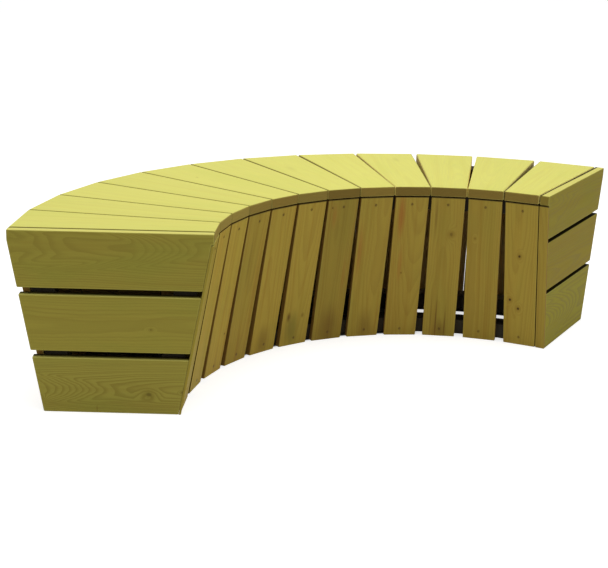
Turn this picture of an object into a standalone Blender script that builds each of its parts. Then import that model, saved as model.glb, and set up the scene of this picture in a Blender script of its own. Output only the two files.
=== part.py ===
"""Curved garden bench: a third of a ring of tapered seat boards on a timber frame clad with leaning slats.

Lengths are metres, +Z is up and the floor is at zero. The arc bulges towards +Y, its hollow side looks
towards -Y, and the origin lies on the floor in the middle of the bench's own box.
"""
from math import atan, cos, radians, sin, tan

import bmesh
import bpy
from mathutils import Vector

# Seat: wedge boards side by side, each as long as the seat is deep
BOARD_COUNT = 12
ARC = radians(120)
SEAT_INNER_RADIUS = 0.590
SEAT_DEPTH = 0.505
SEAT_HEIGHT = 0.470
SEAT_THICKNESS = 0.027
SEAT_ROUNDING = 0.003

# Joints of the seat: a fine line at the nose, opening at the outer edge from the left end to the right.
# The second table gives how much of each opening lies to the right of the joint's line
NOSE_JOINT = 0.0016
WIDEST_JOINT = 0.017
JOINT_SHARES = (0.13, 0.13, 0.13, 0.13, 0.15, 0.24, 0.38, 0.47, 0.9, 0.78, 1.0)
JOINT_RIGHT_SHARES = (0.5, 0.5, 0.5, 0.5, 0.5, 0.5, 0.5, 0.5, 0.5, 0.62, 0.95)
END_SEAM = 0.003

# Walls: both lean in towards the floor, with one slat to each seat board
FOOT_TAPER = 0.079
SLAT_THICKNESS = 0.018
SLAT_ROUNDING = 0.0018
INNER_SLAT_GAP = 0.0078
OUTER_SLAT_GAP = 0.0012
OUTER_OVERHANG = 0.006
NOSE_SHADOW_GAP = 0.0028
END_SLAT_GAP = 0.0018
END_PULL_SHARES = (1.0, 0.5)

# Ends: three level boards each, with a cover lath over their inner ends. The left end's boards are of one
# width; the right end's grow wider towards the floor. A table gives each gap's level as shares of the seat's
END_BOARD_PLACES = ("bottom", "middle", "top")
END_BOARD_THICKNESS = 0.027
LEFT_END_GAP = 0.0175
LEFT_GAP_SHARES = (0.327, 0.673)
RIGHT_END_GAP = 0.011
RIGHT_GAP_SHARES = (0.381, 0.716)
END_ROUNDING = 0.0025
LATH_THICKNESS = 0.006
LATH_ROUNDING = 0.001

# Frame: four curved rails, corner posts, and two cross frames behind slats
RAIL_HEIGHT = 0.044
RAIL_DEPTH = 0.058
RAIL_FLOOR_GAP = 0.005
POST_WIDTH = 0.044
FRAME_ROUNDING = 0.0015
BOARDS_BEFORE_FRAME = 4

# Clearance between pieces that bear on each other, and the shape of every rounding
FIT = 0.0003
ROUNDING_SEGMENTS = 2
ROUNDING_PROFILE = 0.5

# Finishes: colour and roughness
SEAT_FINISH = ((0.745, 0.716, 0.174), 0.6)
END_FINISH = ((0.42, 0.39, 0.09), 0.65)
SLAT_FINISH = ((0.48, 0.39, 0.10), 0.65)
FRAME_FINISH = ((0.30, 0.24, 0.09), 0.75)

# Worked out from the driving dimensions
STEP = ARC / BOARD_COUNT
HALF_STEP = STEP / 2
HALF_ARC = ARC / 2
SEAT_OUTER_RADIUS = SEAT_INNER_RADIUS + SEAT_DEPTH
UNDERSIDE = SEAT_HEIGHT - SEAT_THICKNESS
SLAT_TOP = UNDERSIDE - NOSE_SHADOW_GAP
LEAN = atan(FOOT_TAPER * cos(HALF_STEP) / UNDERSIDE)
SLAT_DEPTH = SLAT_THICKNESS / cos(LEAN)
TOP_LEVELS = (UNDERSIDE - FIT - RAIL_HEIGHT, UNDERSIDE - FIT)
BOTTOM_LEVELS = (RAIL_FLOOR_GAP, RAIL_FLOOR_GAP + RAIL_HEIGHT)
POST_LEVELS = (BOTTOM_LEVELS[1] + FIT, TOP_LEVELS[0] - FIT)
BOARDS = range(1, BOARD_COUNT + 1)

# The box's front edge is the ends' nose corners, and its back edge the seat's outer corner at the middle
FRONT = SEAT_INNER_RADIUS * cos(HALF_ARC) - END_BOARD_THICKNESS * sin(HALF_ARC)
ARC_CENTRE = Vector((0, -(SEAT_OUTER_RADIUS + FRONT) / 2, 0))
UP = Vector((0, 0, 1))


def on_ray(place, distance, sideways, height):
    """A point measured from a ray of the arc; joint 0 is the left end, and boards lie at half places."""
    angle = (place - BOARD_COUNT / 2) * STEP
    outward = Vector((sin(angle), cos(angle), 0))
    along_arc = Vector((cos(angle), -sin(angle), 0))
    return ARC_CENTRE + outward * distance + along_arc * sideways + UP * height


def facet_middle(board):
    return board - 1 / 2


def facet_corner(board, flat, side, clearance, height):
    """Where a flat of a board's facet meets its left (-1) or right (+1) joint, less a clearance."""
    sideways = side * (flat * tan(HALF_STEP) - clearance / cos(HALF_STEP))
    return on_ray(facet_middle(board), flat, sideways, height)


def taper(height):
    """How far the leaning walls have drawn in below the seat's underside."""
    return FOOT_TAPER * (UNDERSIDE - height) / UNDERSIDE


def inner_radius(height):
    return SEAT_INNER_RADIUS + taper(height)


def outer_radius(height):
    return SEAT_OUTER_RADIUS - taper(height)


def inner_face(height):
    """Distance from the arc's centre to the flats of the inner slats, flush with the nose."""
    return inner_radius(height) * cos(HALF_STEP)


def outer_face(height):
    """Distance from the arc's centre to the flats of the outer slats, set in under the seat's edge."""
    return outer_radius(height) * cos(HALF_STEP) - OUTER_OVERHANG


def inner_back(height):
    return inner_face(height) + SLAT_DEPTH


def outer_back(height):
    return outer_face(height) - SLAT_DEPTH


def share_between(shares, place):
    """A value from a table of shares at a place from 0, its start, to 1, its end."""
    spot = place * (len(shares) - 1)
    low = min(int(spot), len(shares) - 2)
    return shares[low] + (shares[low + 1] - shares[low]) * (spot - low)


def timber_finish(name, finish):
    colour, roughness = finish
    material = bpy.data.materials.new(name)
    material.use_nodes = True
    shader = material.node_tree.nodes["Principled BSDF"]
    shader.inputs["Base Color"].default_value = (*colour, 1)
    shader.inputs["Roughness"].default_value = roughness
    shader.inputs["Metallic"].default_value = 0
    material.diffuse_color = (*colour, 1)
    return material


def make_timber(name, outlines, material, rounding):
    """Loft one timber between two outlines with matching corners, and ease its outer edges."""
    bm = bmesh.new()
    start, end = ([bm.verts.new(point) for point in outline] for outline in outlines)
    bm.faces.new(start)
    bm.faces.new(end)
    for corner in range(len(start)):
        bm.faces.new((start[corner - 1], start[corner], end[corner], end[corner - 1]))
    bmesh.ops.recalc_face_normals(bm, faces=bm.faces)
    if rounding:
        outer_edges = [edge for edge in bm.edges if edge.is_convex]
        bmesh.ops.bevel(bm, geom=outer_edges, offset=rounding, segments=ROUNDING_SEGMENTS,
                        profile=ROUNDING_PROFILE, affect="EDGES", clamp_overlap=True)
    mesh = bpy.data.meshes.new(name)
    bm.to_mesh(mesh)
    bm.free()
    mesh.materials.append(material)
    timber = bpy.data.objects.new(name, mesh)
    bpy.context.scene.collection.objects.link(timber)
    return timber


def seat_clearances(joint, side):
    """Clearance of the board on the left (-1) or right (1) of a joint's line, at its nose and outer edge."""
    if joint in (0, BOARD_COUNT):
        return END_SEAM, END_SEAM
    place = (joint - 1) / (BOARD_COUNT - 2)
    opening = WIDEST_JOINT * share_between(JOINT_SHARES, place)
    right_share = share_between(JOINT_RIGHT_SHARES, place)
    return NOSE_JOINT / 2, opening * (right_share if side > 0 else 1 - right_share)


def make_seat(material):
    """Wedge boards that run out from the nose; the joints to the right have dried wider."""
    nose = SEAT_INNER_RADIUS * cos(HALF_STEP)
    edge = SEAT_OUTER_RADIUS * cos(HALF_STEP)
    for board in BOARDS:
        left_nose, left_edge = seat_clearances(board - 1, 1)
        right_nose, right_edge = seat_clearances(board, -1)
        corners = ((nose, -1, left_nose), (nose, 1, right_nose), (edge, 1, right_edge), (edge, -1, left_edge))
        outlines = [
            [facet_corner(board, flat, side, clearance, height) for flat, side, clearance in corners]
            for height in (UNDERSIDE, SEAT_HEIGHT)
        ]
        make_timber(f"seat_board_{board:02d}", outlines, material, SEAT_ROUNDING)


def end_pull(board):
    """How a slat's free room is shared: -1 is hard against the left end, 0 central and 1 the right end."""
    place = min(board - 1, BOARD_COUNT - board)
    if place >= len(END_PULL_SHARES):
        return 0
    return END_PULL_SHARES[place] if board > BOARD_COUNT / 2 else -END_PULL_SHARES[place]


def slat_outline(board, face, back, width, height):
    """Level section of a slat; those near the ends turn so that the end wall gets an even seam."""
    free_room = min(face, back) * tan(HALF_STEP) - width / 2 - END_SLAT_GAP
    middle = end_pull(board) * free_room
    corners = ((face, -width / 2), (face, width / 2), (back, width / 2), (back, -width / 2))
    return [on_ray(facet_middle(board), flat, middle + sideways, height) for flat, sideways in corners]


def inner_width(height):
    """One width at every height, so the inner gaps open towards the floor."""
    return 2 * inner_face(UNDERSIDE) * tan(HALF_STEP) - INNER_SLAT_GAP


def outer_width(height):
    """Tapered with the wall, so the outer gaps stay even."""
    return 2 * outer_back(height) * tan(HALF_STEP) - OUTER_SLAT_GAP


def make_walls(material):
    for wall, face, back, width in (("inner", inner_face, inner_back, inner_width),
                                    ("outer", outer_face, outer_back, outer_width)):
        for board in BOARDS:
            outlines = [slat_outline(board, face(height), back(height), width(height), height)
                        for height in (0, SLAT_TOP)]
            make_timber(f"{wall}_slat_{board:02d}", outlines, material, SLAT_ROUNDING)


def end_board_corners(low, high):
    """Radius and height of an end board's corners; the top board carries the seat's nose round the end."""
    cover = LATH_THICKNESS + FIT
    lower = [(inner_radius(low) + cover, low), (outer_radius(low), low)]
    if high < SEAT_HEIGHT:
        return lower + [(outer_radius(high), high), (inner_radius(high) + cover, high)]
    return lower + [
        (SEAT_OUTER_RADIUS, UNDERSIDE),
        (SEAT_OUTER_RADIUS, SEAT_HEIGHT),
        (SEAT_INNER_RADIUS, SEAT_HEIGHT),
        (SEAT_INNER_RADIUS, UNDERSIDE),
        (SEAT_INNER_RADIUS + cover, UNDERSIDE),
    ]


def lath_corners():
    """Radius and height of the cover lath's corners, flush with the slats' faces."""
    return [
        (inner_radius(0), 0),
        (inner_radius(0) + LATH_THICKNESS, 0),
        (inner_radius(SLAT_TOP) + LATH_THICKNESS, SLAT_TOP),
        (inner_radius(SLAT_TOP), SLAT_TOP),
    ]


def make_end(side, joint, outward_sign, gap, gap_shares, board_material, lath_material):
    """Three boards across an end of the frame and the lath that hides their inner ends."""
    def outlines(corners):
        faces = (0, outward_sign * END_BOARD_THICKNESS)
        return [[on_ray(joint, radius, face, height) for radius, height in corners] for face in faces]

    gap_middles = [SEAT_HEIGHT * share for share in gap_shares]
    lows = [0] + [middle + gap / 2 for middle in gap_middles]
    highs = [middle - gap / 2 for middle in gap_middles] + [SEAT_HEIGHT]
    for place, low, high in zip(END_BOARD_PLACES, lows, highs):
        corners = end_board_corners(low, high)
        make_timber(f"{side}_end_board_{place}", outlines(corners), board_material, END_ROUNDING)
    make_timber(f"{side}_cover_lath", outlines(lath_corners()), lath_material, LATH_ROUNDING)


def inner_rail_back(levels):
    return inner_back(sum(levels) / 2) + FIT + RAIL_DEPTH


def outer_rail_back(levels):
    return outer_back(sum(levels) / 2) - FIT - RAIL_DEPTH


def rail_outline(face, back, height):
    """Plan of a curved rail: a flat behind every slat, and parallel flats on its other side."""
    front = [facet_corner(board, face, 1, 0, height) for board in BOARDS[:-1]]
    rear = [facet_corner(board, back, -1, 0, height) for board in BOARDS[:0:-1]]
    return [
        facet_corner(BOARDS[0], face, -1, FIT, height),
        *front,
        facet_corner(BOARDS[-1], face, 1, FIT, height),
        facet_corner(BOARDS[-1], back, 1, FIT, height),
        *rear,
        facet_corner(BOARDS[0], back, -1, FIT, height),
    ]


def make_rails(material):
    """Curved rails along the top and the foot of both walls, bevelled to the slats' lean."""
    for place, levels in (("top", TOP_LEVELS), ("bottom", BOTTOM_LEVELS)):
        inner = [rail_outline(inner_back(height) + FIT, inner_rail_back(levels), height) for height in levels]
        outer = [rail_outline(outer_back(height) - FIT, outer_rail_back(levels), height) for height in levels]
        make_timber(f"inner_{place}_rail", inner, material, 0)
        make_timber(f"outer_{place}_rail", outer, material, 0)


def timber_section(place, near, far, sides, height):
    """Level section of a frame timber between two distances and two sides of a ray."""
    left, right = sides
    return [on_ray(place, distance, sideways, height)
            for distance, sideways in ((near, left), (near, right), (far, right), (far, left))]


def make_end_posts(material):
    """Leaning posts inside the ends' corners, which the end boards are fixed to."""
    for side, joint, inward_sign in (("left", 0, 1), ("right", BOARD_COUNT, -1)):
        sides = (inward_sign * FIT, inward_sign * (FIT + POST_WIDTH))
        inner, outer = [], []
        for height in POST_LEVELS:
            inner_near = (inner_back(height) + FIT) / cos(HALF_STEP)
            outer_far = (outer_back(height) - FIT) / cos(HALF_STEP) - (FIT + POST_WIDTH) * tan(HALF_STEP)
            inner.append(timber_section(joint, inner_near, inner_near + RAIL_DEPTH, sides, height))
            outer.append(timber_section(joint, outer_far - RAIL_DEPTH, outer_far, sides, height))
        make_timber(f"{side}_end_inner_post", inner, material, FRAME_ROUNDING)
        make_timber(f"{side}_end_outer_post", outer, material, FRAME_ROUNDING)


def make_cross_frames(material):
    """Two frames square to a facet: posts behind an inner and an outer slat, tied above and below."""
    sides = (-POST_WIDTH / 2, POST_WIDTH / 2)
    for side, board in (("left", BOARDS_BEFORE_FRAME + 1), ("right", BOARD_COUNT - BOARDS_BEFORE_FRAME)):
        place = facet_middle(board)
        inner, outer = [], []
        for height in POST_LEVELS:
            near = inner_back(height) + FIT
            far = outer_back(height) - FIT
            inner.append(timber_section(place, near, near + RAIL_DEPTH, sides, height))
            outer.append(timber_section(place, far - RAIL_DEPTH, far, sides, height))
        make_timber(f"{side}_frame_inner_post", inner, material, FRAME_ROUNDING)
        make_timber(f"{side}_frame_outer_post", outer, material, FRAME_ROUNDING)
        for name, levels in (("top_bearer", TOP_LEVELS), ("bottom_spreader", BOTTOM_LEVELS)):
            near = inner_rail_back(levels) + FIT
            far = outer_rail_back(levels) - FIT
            outlines = [timber_section(place, near, far, sides, height) for height in levels]
            make_timber(f"{side}_frame_{name}", outlines, material, FRAME_ROUNDING)


def build():
    for item in list(bpy.data.objects):
        bpy.data.objects.remove(item, do_unlink=True)
    seat_timber = timber_finish("seat_timber", SEAT_FINISH)
    end_timber = timber_finish("end_timber", END_FINISH)
    slat_timber = timber_finish("slat_timber", SLAT_FINISH)
    frame_timber = timber_finish("frame_timber", FRAME_FINISH)
    make_seat(seat_timber)
    make_walls(slat_timber)
    make_end("left", 0, -1, LEFT_END_GAP, LEFT_GAP_SHARES, end_timber, slat_timber)
    make_end("right", BOARD_COUNT, 1, RIGHT_END_GAP, RIGHT_GAP_SHARES, end_timber, slat_timber)
    make_rails(frame_timber)
    make_end_posts(frame_timber)
    make_cross_frames(frame_timber)


build()
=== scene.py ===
# %% [markdown]
# # A curved garden bench in pressure-treated softwood
# The imported model already holds every timber of the bench at its true size: the wedge boards of the seat, the
# leaning slats of both walls, the boarded ends and the frame inside. This lesson leaves their shapes alone and
# gives them what a camera needs: a view, light, and above all wood that looks sawn from a log. It then adds
# the one small thing that the model leaves out, the screws that hold the slats.

# %% Load the frame and bake its timbers in place
from math import atan2, cos, pi, radians, sin
from random import Random

import bmesh
import bpy
from mathutils import Matrix, Vector


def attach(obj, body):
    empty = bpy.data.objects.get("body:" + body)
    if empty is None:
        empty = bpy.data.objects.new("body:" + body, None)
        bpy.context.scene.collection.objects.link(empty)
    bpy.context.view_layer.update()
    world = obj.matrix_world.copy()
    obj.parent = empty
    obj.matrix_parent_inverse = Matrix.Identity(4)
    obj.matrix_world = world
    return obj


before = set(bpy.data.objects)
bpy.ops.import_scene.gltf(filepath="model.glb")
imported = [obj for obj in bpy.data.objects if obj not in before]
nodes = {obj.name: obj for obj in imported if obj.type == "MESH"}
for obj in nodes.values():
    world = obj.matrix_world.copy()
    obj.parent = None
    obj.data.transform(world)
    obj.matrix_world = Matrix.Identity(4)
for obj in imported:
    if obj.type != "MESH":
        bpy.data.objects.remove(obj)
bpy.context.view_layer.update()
print(len(nodes), "timbers in the frame")

# %% [markdown]
# ## The ring that everything is set out from
# A joiner would draw two arcs on the floor first. Every board of the bench points at the same centre, so one
# function that measures from a ray of that ring places the camera, the grain and the screws. Joint 0 is the
# left end, joint 12 the right end, and the middle line of board 3, say, lies at 2.5.

# %% Setting out
BOARD_COUNT = 12
STEP = radians(120) / BOARD_COUNT
SEAT_INNER_RADIUS = 0.590
SEAT_DEPTH = 0.505
SEAT_HEIGHT = 0.470
SEAT_THICKNESS = 0.027
END_BOARD_THICKNESS = 0.027
FOOT_TAPER = 0.079

SEAT_OUTER_RADIUS = SEAT_INNER_RADIUS + SEAT_DEPTH
UNDERSIDE = SEAT_HEIGHT - SEAT_THICKNESS
HALF_ARC = STEP * BOARD_COUNT / 2
FRONT = SEAT_INNER_RADIUS * cos(HALF_ARC) - END_BOARD_THICKNESS * sin(HALF_ARC)
RING_CENTRE = Vector((0, -(SEAT_OUTER_RADIUS + FRONT) / 2, 0))
UP = Vector((0, 0, 1))


def ray_axes(place):
    """The directions away from the ring's centre and along the arc, at a joint or between two."""
    angle = (place - BOARD_COUNT / 2) * STEP
    return Vector((sin(angle), cos(angle), 0)), Vector((cos(angle), -sin(angle), 0))


print("ring centre", RING_CENTRE)

# %% [markdown]
# ## The camera
# The photograph looks along the left end and across the hollow of the arc, from a little above standing eye
# height over a bench this low. Position, aim, roll and focal length were found by matching the seat's joints
# and the feet of the slats. The photo is a crop from a larger frame, which a small shift of the lens repeats.

# %% Camera
PHOTO_WIDTH, PHOTO_HEIGHT = 608, 568
SENSOR_WIDTH = 36
FOCAL_LENGTH_PX = 1332.5
CAMERA_ROLL = 0.0217
OPTICAL_CENTRE_PX = (250, 340)
EYE = RING_CENTRE + Vector((-1.9747, -2.4997, 1.2585))
AIM = RING_CENTRE + Vector((-0.1489, 0.7543, 0))

camera_data = bpy.data.cameras.new("camera")
camera_data.sensor_width = SENSOR_WIDTH
camera_data.lens = FOCAL_LENGTH_PX / PHOTO_WIDTH * SENSOR_WIDTH
camera_data.shift_x = (PHOTO_WIDTH / 2 - OPTICAL_CENTRE_PX[0]) / PHOTO_WIDTH
camera_data.shift_y = (OPTICAL_CENTRE_PX[1] - PHOTO_HEIGHT / 2) / PHOTO_WIDTH
camera = bpy.data.objects.new("camera", camera_data)
bpy.context.scene.collection.objects.link(camera)
level_view = (AIM - EYE).to_track_quat("-Z", "Y").to_matrix()
rolled_view = level_view @ Matrix.Rotation(CAMERA_ROLL, 3, "Z")
camera.matrix_world = Matrix.Translation(EYE) @ rolled_view.to_4x4()
bpy.context.scene.camera = camera
print("lens", round(camera_data.lens, 1), "mm")

# %% [markdown]
# ## A vocabulary for shaders
# A material is a graph of small nodes: sums, noises, mixes of two colours. Each short function here adds one
# and links it up. They take plain numbers or the sockets of earlier nodes, which lets the rest of the lesson
# read like arithmetic.

# %% Nodes, links and sums
def add_node(tree, kind, **settings):
    """A shader node with its settings, given by attribute name."""
    node = tree.nodes.new(kind)
    for name, value in settings.items():
        setattr(node, name, value)
    return node


def link_value(tree, source, socket):
    """Links a socket, or sets a plain value."""
    if isinstance(source, bpy.types.NodeSocket):
        tree.links.new(source, socket)
    else:
        socket.default_value = source


def math(tree, operation, first, second=0.0, third=0.0):
    node = add_node(tree, "ShaderNodeMath", operation=operation)
    for socket, source in zip(node.inputs, (first, second, third)):
        link_value(tree, source, socket)
    return node.outputs[0]


def product(tree, *factors):
    result = factors[0]
    for factor in factors[1:]:
        result = math(tree, "MULTIPLY", result, factor)
    return result


def rest_of(tree, share):
    """What a share leaves of one."""
    return math(tree, "SUBTRACT", 1.0, share)


def smooth_step(tree, value, low, high, at_low=0.0, at_high=1.0):
    """Eases from one value to another while the input goes from low to high, and stays level outside."""
    node = add_node(tree, "ShaderNodeMapRange", interpolation_type="SMOOTHSTEP")
    for name, source in (("Value", value), ("From Min", low), ("From Max", high),
                         ("To Min", at_low), ("To Max", at_high)):
        link_value(tree, source, node.inputs[name])
    return node.outputs["Result"]


print("sums: math, product, rest_of, smooth_step")

# %% Vectors, noise and colours
# The mix node keeps a set of sockets for each type of value. These are the colour ones
MIX_INPUTS = (0, 6, 7)
MIX_RESULT = 2
SEED_SPREAD = (1, 1.7, 0.3)


def vector_math(tree, operation, first, second=(0, 0, 0)):
    node = add_node(tree, "ShaderNodeVectorMath", operation=operation)
    link_value(tree, first, node.inputs[0])
    link_value(tree, second, node.inputs[1])
    return node.outputs["Value" if operation == "LENGTH" else "Vector"]


def parts_of(tree, vector):
    """The X, Y and Z of a vector, as three sockets."""
    split = add_node(tree, "ShaderNodeSeparateXYZ")
    tree.links.new(vector, split.inputs[0])
    return split.outputs


def in_axes(tree, vector, turn, middle=(0, 0, 0)):
    """A point or direction as measured from a middle along turned axes."""
    mapping = add_node(tree, "ShaderNodeMapping", vector_type="TEXTURE")
    mapping.inputs["Location"].default_value = middle
    mapping.inputs["Rotation"].default_value = turn
    tree.links.new(vector, mapping.inputs["Vector"])
    return mapping.outputs["Vector"]


def own_noise(tree, vector, stretch, seed, detail):
    """Noise with so many grains per metre along, across and through a piece."""
    scaled = vector_math(tree, "MULTIPLY", vector, stretch)
    shifted = vector_math(tree, "ADD", scaled, tuple(seed * share for share in SEED_SPREAD))
    node = add_node(tree, "ShaderNodeTexNoise")
    node.inputs["Scale"].default_value = 1
    node.inputs["Detail"].default_value = detail
    tree.links.new(shifted, node.inputs["Vector"])
    return node


def mix_colour(tree, amount, first, second, blend="MIX"):
    node = add_node(tree, "ShaderNodeMix", data_type="RGBA", blend_type=blend)
    for number, source in zip(MIX_INPUTS, (amount, first, second)):
        link_value(tree, source, node.inputs[number])
    return node.outputs[MIX_RESULT]


def cover(tree, shade, tint, value, span, at_low=0.0, at_high=1.0):
    """Lays a tint over a shade, by an amount that eases from one depth to another over a span of a value."""
    return mix_colour(tree, smooth_step(tree, value, *span, at_low, at_high), shade, tint)


def colour(red, green, blue):
    """A colour as a paint chart gives it, 0 to 255, made linear for the shader."""
    def linear(value):
        share = value / 255
        return share / 12.92 if share <= 0.04045 else ((share + 0.055) / 1.055) ** 2.4
    return (linear(red), linear(green), linear(blue), 1)


print("grey 128 is linear", round(colour(128, 128, 128)[0], 3))

# %% Materials, shaders and relief
def new_material(name):
    """A material, its tree and its main shader."""
    material = bpy.data.materials.new(name)
    material.use_nodes = True
    return material, material.node_tree, material.node_tree.nodes["Principled BSDF"]


def blank_tree(owner):
    """The emptied shader tree of a material or a world."""
    owner.use_nodes = True
    owner.node_tree.nodes.clear()
    return owner.node_tree


def shader_of(tree, kind, **inputs):
    """A plain shader, with its inputs set or linked by name."""
    shader = add_node(tree, kind)
    for name, source in inputs.items():
        link_value(tree, source, shader.inputs[name])
    return shader.outputs[0]


def add_relief(tree, shader, height, strength, distance):
    """Fine relief too small to model, which only turns the way the surface meets the light."""
    bump = add_node(tree, "ShaderNodeBump")
    for name, source in (("Strength", strength), ("Distance", distance), ("Height", height)):
        link_value(tree, source, bump.inputs[name])
    tree.links.new(bump.outputs["Normal"], shader.inputs["Normal"])


print("materials: new_material, blank_tree, shader_of, add_relief")

# %% [markdown]
# ## Floor, sky and lamp
# The bench stands on white. An even pale sky lights it from all round, and a wide soft lamp overhead makes the
# seat the brightest face, as on an overcast day outdoors. To the camera the sky and the floor are plain white,
# but the floor still darkens where the bench shades it, which is what makes it stand and not float. Inside the
# walls shade is painted on the floor, darker still, apart from one patch of painted light under the wide joints
# of the seat.

# %% One shader for the light, another for the camera
WHITE = (1, 1, 1, 1)


def seen_ray(tree):
    """1 for camera, glossy and transmission rays, 0 for the rays that light the scene."""
    path = add_node(tree, "ShaderNodeLightPath")
    seen = path.outputs["Is Camera Ray"]
    for other in ("Is Glossy Ray", "Is Transmission Ray"):
        seen = math(tree, "MAXIMUM", seen, path.outputs[other])
    return seen


def finish_surface(tree, lighting, shown, output_kind):
    """Links both shaders to the output. Each ray takes the one that is meant for it."""
    either = add_node(tree, "ShaderNodeMixShader")
    for source, socket in zip((seen_ray(tree), lighting, shown), either.inputs):
        tree.links.new(source, socket)
    output = add_node(tree, output_kind)
    tree.links.new(either.outputs[0], output.inputs["Surface"])


print("plain white is", WHITE)

# %% Where shade is painted on the floor under the bench
# Radii where the floor turns from open to walled in, and back; and the patch of painted light under the open
# joints
INNER_WALL_RADII = (0.672, 0.690)
OUTER_WALL_RADII = (0.985, 1.010)
END_FADE = radians(1)
LIT_PLACES = (8.75, 9.05)
LIT_RADII = (0.926, 0.933)


def under_the_bench(tree):
    """1 where shade is painted on the floor inside the walls, 0 outside them and on the painted light under the
    open joints.
    """
    where = add_node(tree, "ShaderNodeTexCoord").outputs["Object"]
    from_centre = vector_math(tree, "SUBTRACT", where, tuple(RING_CENTRE))
    distance = vector_math(tree, "LENGTH", from_centre)
    east, north, _ = parts_of(tree, from_centre)
    angle = math(tree, "ARCTAN2", east, north)
    turned = math(tree, "ABSOLUTE", angle)
    walled = product(tree, smooth_step(tree, distance, *INNER_WALL_RADII),
                     smooth_step(tree, distance, *OUTER_WALL_RADII, 1.0, 0.0),
                     smooth_step(tree, turned, HALF_ARC - END_FADE, HALF_ARC, 1.0, 0.0))
    place = math(tree, "MULTIPLY_ADD", angle, 1 / STEP, BOARD_COUNT / 2)
    lit = product(tree, smooth_step(tree, place, *LIT_PLACES),
                  smooth_step(tree, distance, *LIT_RADII, 1.0, 0.0))
    return product(tree, walled, rest_of(tree, lit))


print("floor walled in from", INNER_WALL_RADII[1], "to", OUTER_WALL_RADII[0], "m of radius")

# %% Floor
FLOOR_SIZE = 60
FLOOR_WHITE = 0.8
FLOOR_SEEN_GLOW = 0.72
FLOOR_SEEN_WHITE = 0.6
FLOOR_SEEN_SHADE = 0.16

bpy.ops.mesh.primitive_plane_add(size=FLOOR_SIZE, location=(0, 0, 0))
floor = bpy.context.object
floor.name = "floor"
floor_material = bpy.data.materials.new("white_floor")
tree = blank_tree(floor_material)
lighting_floor = shader_of(tree, "ShaderNodeBsdfDiffuse", Color=(FLOOR_WHITE, FLOOR_WHITE, FLOOR_WHITE, 1))
# Inside the walls the floor's seen colour and glow are lowered as painted shade, apart from the patch of
# painted light
shaded = under_the_bench(tree)
seen_white = smooth_step(tree, shaded, 0, 1, FLOOR_SEEN_WHITE, FLOOR_SEEN_SHADE)
seen_glow = smooth_step(tree, shaded, 0, 1, FLOOR_SEEN_GLOW, 0.0)
seen_floor = add_node(tree, "ShaderNodeAddShader")
tree.links.new(shader_of(tree, "ShaderNodeBsdfDiffuse", Color=seen_white), seen_floor.inputs[0])
tree.links.new(shader_of(tree, "ShaderNodeEmission", Color=WHITE, Strength=seen_glow), seen_floor.inputs[1])
finish_surface(tree, lighting_floor, seen_floor.outputs[0], "ShaderNodeOutputMaterial")
floor.data.materials.append(floor_material)
print("floor", FLOOR_SIZE, "m square")

# %% Sky
SKY_STRENGTH = 0.47

world = bpy.data.worlds.new("pale_sky")
bpy.context.scene.world = world
tree = blank_tree(world)
lighting_sky = shader_of(tree, "ShaderNodeBackground", Color=WHITE, Strength=SKY_STRENGTH)
seen_sky = shader_of(tree, "ShaderNodeBackground", Color=WHITE)
finish_surface(tree, lighting_sky, seen_sky, "ShaderNodeOutputWorld")
print("sky of strength", SKY_STRENGTH)

# %% Overhead lamp
LAMP_SIZE = 4.0
LAMP_HEIGHT = 4.0
LAMP_POWER = 105

lamp_data = bpy.data.lights.new("overhead", "AREA")
lamp_data.shape = "DISK"
lamp_data.size = LAMP_SIZE
lamp_data.energy = LAMP_POWER
lamp = bpy.data.objects.new("overhead", lamp_data)
lamp.location = (0, 0, LAMP_HEIGHT)
bpy.context.scene.collection.objects.link(lamp)
bpy.context.scene.view_settings.view_transform = "Standard"
print("lamp of", LAMP_POWER, "W at", LAMP_HEIGHT, "m")

# %% [markdown]
# ## Each timber's own axes
# Wood is a solid pattern. The grain has to run along the timber, across its end as rings and along its face as
# stripes, so the pattern must be turned with each board. The boards lie at every angle round the ring, so the
# axes are worked out from the name of the piece: grain, width and thickness.

# %% Axes by piece
CROSS_FRAME_PLACE = 4.5


def wall_grain(place, inner):
    """Up along a leaning wall at one place on the ring, along the wall, and out of its face."""
    outward, along_arc = ray_axes(place)
    lean = outward * (-FOOT_TAPER if inner else FOOT_TAPER) + UP * UNDERSIDE
    grain = lean.normalized()
    face = along_arc.cross(grain) if inner else grain.cross(along_arc)
    return grain, along_arc, face.normalized()


def timber_axes(name):
    """Grain, width and thickness directions of a named timber. Thickness points out of its best face."""
    words = name.split("_")
    if words[-1].isdigit():
        middle_line = int(words[-1]) - 1 / 2
        if "slat" in words:
            return wall_grain(middle_line, words[0] == "inner")
        return *ray_axes(middle_line), UP
    joint = 0 if words[0] == "left" else BOARD_COUNT
    outward, along_arc = ray_axes(joint)
    if "board" in words:
        return outward, UP, along_arc if joint else -along_arc
    if "lath" in words or "end" in words:
        return wall_grain(joint, "outer" not in words)
    place = CROSS_FRAME_PLACE if words[0] == "left" else BOARD_COUNT - CROSS_FRAME_PLACE
    if "post" in words:
        return wall_grain(place, "inner" in words)
    return *ray_axes(place), UP


print("seat board 3 grain", timber_axes("seat_board_03")[0])

# %% A timber's own space
def timber_matrix(name):
    """A timber's own space: its middle, with X along the grain, Y across its width and Z out of its face."""
    grain, width, face = timber_axes(name)
    mesh = nodes[name].data
    middle = sum((vertex.co for vertex in mesh.vertices), Vector()) / len(mesh.vertices)
    turned = Matrix((grain, width, grain.cross(width))).transposed()
    if turned.col[2].dot(face) < 0:
        turned = Matrix((grain, -width, -grain.cross(width))).transposed()
    return Matrix.Translation(middle) @ turned.to_4x4()


print("seat board 3 middle", timber_matrix("seat_board_03").translation)
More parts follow.
